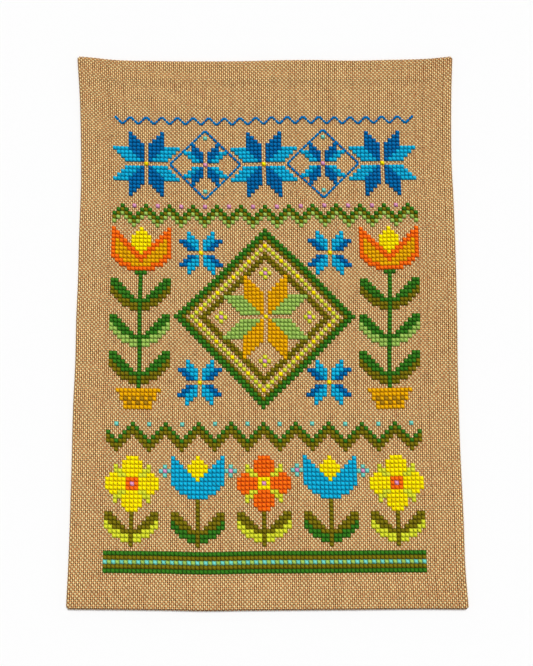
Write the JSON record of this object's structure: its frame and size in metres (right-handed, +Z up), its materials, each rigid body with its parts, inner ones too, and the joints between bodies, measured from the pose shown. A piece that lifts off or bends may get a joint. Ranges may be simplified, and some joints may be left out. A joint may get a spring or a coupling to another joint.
{
  "type": "needlepoint canvas panel",
  "caption": "Finished needlepoint panel of tan plain-weave canvas, worked in wool cross stitch, its edges turned under, lying flat and face up.",
  "frame": {"origin": "under the middle of the panel's box, on the surface that the panel lies on", "axes": "+Z up, out of the stitched face; +Y towards the panel's top edge; +X towards its right edge"},
  "size_m": [0.3638, 0.5143, 0.0028],
  "materials": {
    "canvas": "matt plain-weave cotton canvas",
    "wool": "matt plied wool yarn"
  },
  "bodies": {
    "root": {"canvas_panel": "canvas"}
  },
  "joints": []
}
